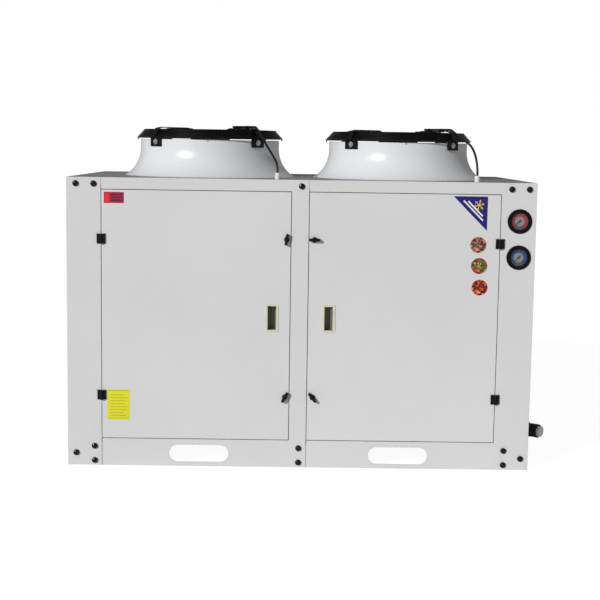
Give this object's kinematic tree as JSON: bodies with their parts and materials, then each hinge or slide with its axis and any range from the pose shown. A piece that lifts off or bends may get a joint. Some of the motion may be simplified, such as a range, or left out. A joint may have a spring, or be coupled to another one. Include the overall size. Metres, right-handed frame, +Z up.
{
  "type": "refrigeration condensing unit",
  "caption": "Air-cooled condensing unit: steel cabinet with hinged doors, roof fans in round cowls with guards, fork slots, panel gauges and a finned coil at the back.",
  "frame": {"origin": "centre of the base's underside, midway between the floor fixing holes", "axes": "+X to the right seen from the doors, +Y from the doors to the coil, +Z up"},
  "size_m": [1.7012, 0.9173, 1.1953],
  "materials": {
    "panel_paint": "satin powder coat",
    "cowl_paint": "gloss white",
    "base_steel": "galvanised",
    "foam": "acoustic foam",
    "handle_plastic": "satin",
    "black_plastic": "satin",
    "zinc": "zinc plated",
    "black_bolt": "black",
    "guard_black": "gloss black",
    "motor_black": "satin black",
    "cable_black": "matt",
    "insulation": "foam rubber",
    "gland_white": "gloss",
    "gauge_black": "gloss",
    "dial_grey": "matt",
    "gauge_glass": "clear",
    "coil_fins": "plain",
    "galvanised": "galvanised",
    "copper": "drawn copper",
    "cast_green": "painted",
    "mount_rubber": "matt",
    "vessel_black": "satin black",
    "box_grey": "satin"
  },
  "bodies": {
    "cabinet": {"base_rails": "base_steel", "blue_gauge_case": "gauge_black", "cable_glands": "gland_white", "compressor_body": "cast_green", "compressor_heads": "cast_green", "compressor_mounts": "mount_rubber", "condenser_end_plates": "galvanised", "condenser_fin_pack": "coil_fins", "condenser_return_bends": "copper", "control_box": "box_grey", "discharge_pipes": "copper", "fan_cowl_left": "cowl_paint", "fan_cowl_right": "cowl_paint", "fan_guard_left": "guard_black", "fan_guard_right": "guard_black", "fan_motor_left": "motor_black", "fan_motor_right": "motor_black", "filter_drier": "vessel_black", "floor_pan": "base_steel", "frame_bolts": "black_bolt", "front_frame_left": "panel_paint", "front_frame_right": "panel_paint", "front_left_post": "panel_paint", "gauge_dials": "dial_grey", "gauge_lenses": "gauge_glass", "guard_bolts": "zinc", "hinge_pins": "zinc", "hinge_post_leaves": "black_plastic", "left_fork_bearer": "base_steel", "left_side_panel": "panel_paint", "liquid_pipes": "copper", "liquid_receiver": "vessel_black", "motor_cable_left": "cable_black", "motor_cable_right": "cable_black", "oil_separator": "vessel_black", "rear_frame": "panel_paint", "red_gauge_case": "gauge_black", "right_fork_bearer": "base_steel", "right_side_panel": "panel_paint", "stub_caps": "zinc", "stub_grommets": "cable_black", "suction_pipe": "copper", "suction_sleeve": "insulation", "top_panel": "panel_paint"},
    "left_door": {"left_door": "panel_paint", "left_door_liner": "foam", "left_door_handle": "handle_plastic", "left_door_hinge_leaves": "black_plastic"},
    "right_door": {"right_door": "panel_paint", "right_door_liner": "foam", "right_door_handle": "handle_plastic", "right_door_hinge_leaves": "black_plastic"},
    "left_upper_latch": {"left_upper_latch": "black_plastic"},
    "left_lower_latch": {"left_lower_latch": "black_plastic"},
    "right_upper_latch": {"right_upper_latch": "black_plastic"},
    "right_lower_latch": {"right_lower_latch": "black_plastic"},
    "left_fan": {"fan_rotor_left": "motor_black"},
    "right_fan": {"fan_rotor_right": "motor_black"},
    "red_needle": {"red_gauge_needle": "gauge_black"},
    "blue_needle": {"blue_gauge_needle": "gauge_black"}
  },
  "joints": [
    {"name": "left_door_swing", "type": "hinge", "parent": "cabinet", "child": "left_door", "pos_m": [-0.69, -0.4565, 0.526], "axis": [0, 0, -1], "range_deg": [0, 110]},
    {"name": "right_door_swing", "type": "hinge", "parent": "cabinet", "child": "right_door", "pos_m": [0.687, -0.4565, 0.526], "axis": [0, 0, 1], "range_deg": [0, 110]},
    {"name": "left_upper_latch_turn", "type": "hinge", "parent": "left_door", "child": "left_upper_latch", "pos_m": [-0.05, -0.45, 0.805], "axis": [0, -1, 0], "range_deg": [0, 90]},
    {"name": "left_lower_latch_turn", "type": "hinge", "parent": "left_door", "child": "left_lower_latch", "pos_m": [-0.05, -0.45, 0.252], "axis": [0, -1, 0], "range_deg": [0, 90]},
    {"name": "right_upper_latch_turn", "type": "hinge", "parent": "right_door", "child": "right_upper_latch", "pos_m": [0.0462, -0.45, 0.805], "axis": [0, 1, 0], "range_deg": [0, 90]},
    {"name": "right_lower_latch_turn", "type": "hinge", "parent": "right_door", "child": "right_lower_latch", "pos_m": [0.0462, -0.45, 0.252], "axis": [0, 1, 0], "range_deg": [0, 90]},
    {"name": "left_fan_spin", "type": "hinge", "parent": "cabinet", "child": "left_fan", "pos_m": [-0.345, 0, 1.11], "axis": [0, 0, 1], "continuous": true},
    {"name": "right_fan_spin", "type": "hinge", "parent": "cabinet", "child": "right_fan", "pos_m": [0.363, 0, 1.11], "axis": [0, 0, 1], "continuous": true},
    {"name": "red_needle_sweep", "type": "hinge", "parent": "cabinet", "child": "red_needle", "pos_m": [0.7526, -0.45, 0.878], "axis": [0, 1, 0], "range_deg": [0, 270]},
    {"name": "blue_needle_sweep", "type": "hinge", "parent": "cabinet", "child": "blue_needle", "pos_m": [0.7526, -0.45, 0.753], "axis": [0, 1, 0], "range_deg": [0, 270]}
  ]
}
